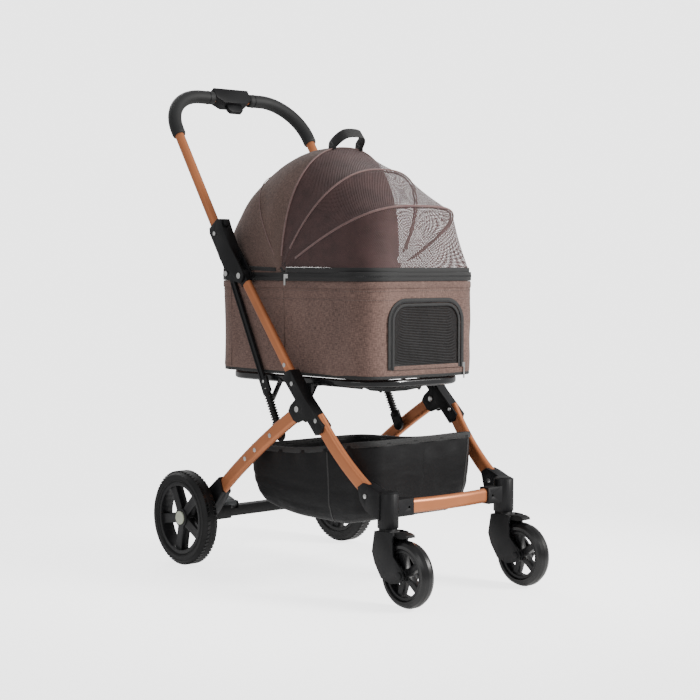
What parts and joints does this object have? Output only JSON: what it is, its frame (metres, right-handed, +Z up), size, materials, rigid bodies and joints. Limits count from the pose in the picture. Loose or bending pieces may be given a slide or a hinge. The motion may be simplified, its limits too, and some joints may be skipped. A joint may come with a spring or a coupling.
{
  "type": "pet stroller",
  "caption": "Folding pet stroller with a lift-off soft carrier, folding mesh canopy, front door, swivel front wheels, linked rear legs and an under basket.",
  "frame": {"origin": "floor level at the middle of the footprint", "axes": "+Z up, front faces -Y, parts ending in _l are on the -X side"},
  "size_m": [0.47, 0.8312, 1.0206],
  "materials": {
    "tube": "satin copper anodised",
    "black_plastic": "fine grained black",
    "rivet": "domed rivet heads",
    "ring": "gloss black paint",
    "basket_cloth": "woven nylon",
    "foam": "soft foam",
    "boot": "soft rubber",
    "pedal": "grey",
    "tyre": "satin",
    "wheel": "moulded",
    "cap": "pale disc",
    "bag": "heathered weave",
    "pad": "quilted",
    "webbing": "ribbed webbing",
    "net": "open mesh",
    "wire": "sprung wire"
  },
  "bodies": {
    "chassis": {"upper_leg_l": "tube", "upper_leg_r": "tube", "hub_l": "black_plastic", "hub_r": "black_plastic", "front_leg_l": "tube", "front_leg_r": "tube", "caster_housing_l": "black_plastic", "caster_housing_r": "black_plastic", "front_crossbar": "tube", "hinge_base_l": "black_plastic", "hinge_base_r": "black_plastic", "seat_ring": "ring", "seat_ring_rear": "ring", "ring_stays": "ring", "frame_rivets": "rivet", "basket": "basket_cloth"},
    "handle": {"handle_tube": "tube", "handle_grip": "foam", "handle_cover": "black_plastic", "fold_housing_l": "black_plastic", "fold_housing_r": "black_plastic", "handle_rivets": "rivet"},
    "trigger": {"fold_trigger": "black_plastic"},
    "rear_frame": {"rear_arm_l": "tube", "rear_arm_r": "tube", "rear_beam": "black_plastic", "rear_rivets": "rivet"},
    "brake": {"brake_pedal": "pedal"},
    "carrier": {"carrier_shell": "bag", "carrier_floor": "pad", "carrier_rim": "webbing", "hood": "bag", "carry_strap": "webbing"},
    "door": {"front_door": "net"},
    "canopy_mid": {"bow_mid": "wire", "mesh_rear": "net"},
    "canopy_front": {"bow_front": "wire", "mesh_mid": "net"},
    "canopy_edge": {"canopy_rim": "wire", "mesh_front": "net"},
    "button_l": {"lock_button_l": "boot"},
    "rod_l": {"push_rod_l": "black_plastic", "spring_l": "boot"},
    "rear_wheel_l": {"rear_tyre_l": "tyre", "rear_rim_l": "wheel", "hub_cap_l": "cap"},
    "caster_l": {"caster_fork_l": "black_plastic"},
    "lock_l": {"caster_lock_l": "boot"},
    "front_wheel_l": {"front_tyre_l": "tyre", "front_rim_l": "wheel"},
    "button_r": {"lock_button_r": "boot"},
    "rod_r": {"push_rod_r": "black_plastic", "spring_r": "boot"},
    "rear_wheel_r": {"rear_tyre_r": "tyre", "rear_rim_r": "wheel", "hub_cap_r": "cap"},
    "caster_r": {"caster_fork_r": "black_plastic"},
    "lock_r": {"caster_lock_r": "boot"},
    "front_wheel_r": {"front_tyre_r": "tyre", "front_rim_r": "wheel"}
  },
  "joints": [
    {"name": "handle_fold", "type": "hinge", "parent": "chassis", "child": "handle", "pos_m": [0, 0.109, 0.608], "axis": [-1, 0, 0], "range_deg": [0, 75]},
    {"name": "rear_leg_fold", "type": "hinge", "parent": "chassis", "child": "rear_frame", "pos_m": [0, -0.077, 0.35], "axis": [-1, 0, 0], "range_deg": [0, 52.9]},
    {"name": "push_rod_swing_l", "type": "hinge", "parent": "handle", "child": "rod_l", "pos_m": [-0.1605, 0.178, 0.612], "axis": [1, 0, 0], "range_deg": [0, 68.6]},
    {"name": "lock_button_press_l", "type": "slide", "parent": "handle", "child": "button_l", "axis": [0, 0.832, -0.5548], "range_m": [0, 0.003], "stiffness_N_per_m": 1200, "springref_m": -0.002},
    {"name": "push_rod_swing_r", "type": "hinge", "parent": "handle", "child": "rod_r", "pos_m": [0.1605, 0.178, 0.612], "axis": [1, 0, 0], "range_deg": [0, 68.6]},
    {"name": "lock_button_press_r", "type": "slide", "parent": "handle", "child": "button_r", "axis": [0, 0.832, -0.5548], "range_m": [0, 0.003], "stiffness_N_per_m": 1200, "springref_m": -0.002},
    {"name": "fold_trigger_pull", "type": "slide", "parent": "handle", "child": "trigger", "axis": [0, 0.5548, 0.832], "range_m": [0, 0.006], "stiffness_N_per_m": 800, "springref_m": -0.004},
    {"name": "brake_press", "type": "hinge", "parent": "rear_frame", "child": "brake", "pos_m": [-0.12, 0.249, 0.1195], "axis": [-1, 0, 0], "range_deg": [0, 12]},
    {"name": "rear_wheel_spin_l", "type": "hinge", "parent": "rear_frame", "child": "rear_wheel_l", "pos_m": [-0.217, 0.267, 0.099], "axis": [1, 0, 0], "continuous": true},
    {"name": "caster_swivel_l", "type": "hinge", "parent": "chassis", "child": "caster_l", "pos_m": [-0.155, -0.3, 0.17], "axis": [0, 0, 1], "continuous": true},
    {"name": "front_wheel_spin_l", "type": "hinge", "parent": "caster_l", "child": "front_wheel_l", "pos_m": [-0.155, -0.353, 0.0625], "axis": [1, 0, 0], "continuous": true},
    {"name": "caster_lock_flip_l", "type": "hinge", "parent": "caster_l", "child": "lock_l", "pos_m": [-0.155, -0.328, 0.133], "axis": [-1, 0, 0], "range_deg": [0, 25]},
    {"name": "rear_wheel_spin_r", "type": "hinge", "parent": "rear_frame", "child": "rear_wheel_r", "pos_m": [0.217, 0.267, 0.099], "axis": [1, 0, 0], "continuous": true},
    {"name": "caster_swivel_r", "type": "hinge", "parent": "chassis", "child": "caster_r", "pos_m": [0.155, -0.3, 0.17], "axis": [0, 0, 1], "continuous": true},
    {"name": "front_wheel_spin_r", "type": "hinge", "parent": "caster_r", "child": "front_wheel_r", "pos_m": [0.155, -0.353, 0.0625], "axis": [1, 0, 0], "continuous": true},
    {"name": "caster_lock_flip_r", "type": "hinge", "parent": "caster_r", "child": "lock_r", "pos_m": [0.155, -0.328, 0.133], "axis": [-1, 0, 0], "range_deg": [0, 25]},
    {"name": "carrier_lift", "type": "slide", "parent": "chassis", "child": "carrier", "axis": [0, 0, 1], "range_m": [0, 0.35]},
    {"name": "front_door_open", "type": "hinge", "parent": "carrier", "child": "door", "pos_m": [0, -0.24, 0.428], "axis": [1, 0, 0], "range_deg": [0, 110]},
    {"name": "canopy_fold", "type": "hinge", "parent": "carrier", "child": "canopy_mid", "pos_m": [0, 0.015, 0.62], "axis": [-1, 0, 0], "range_deg": [0, 27], "deforming": ["mesh_rear"]},
    {"name": "canopy_front_fold", "type": "hinge", "parent": "canopy_mid", "child": "canopy_front", "pos_m": [0, 0.015, 0.62], "axis": [-1, 0, 0], "range_deg": [0, 24.6], "deforming": ["mesh_mid"]},
    {"name": "canopy_edge_fold", "type": "hinge", "parent": "canopy_front", "child": "canopy_edge", "pos_m": [0, 0.015, 0.62], "axis": [-1, 0, 0], "range_deg": [0, 20.6], "deforming": ["mesh_front"]}
  ],
  "couplings": [
    {"joint": "rear_leg_fold", "follows": "handle_fold", "ratio": 0.70404},
    {"joint": "push_rod_swing_l", "follows": "handle_fold", "ratio": 0.91224},
    {"joint": "push_rod_swing_r", "follows": "handle_fold", "ratio": 0.91224},
    {"joint": "canopy_front_fold", "follows": "canopy_fold", "ratio": 0.9074},
    {"joint": "canopy_edge_fold", "follows": "canopy_fold", "ratio": 0.7593}
  ]
}
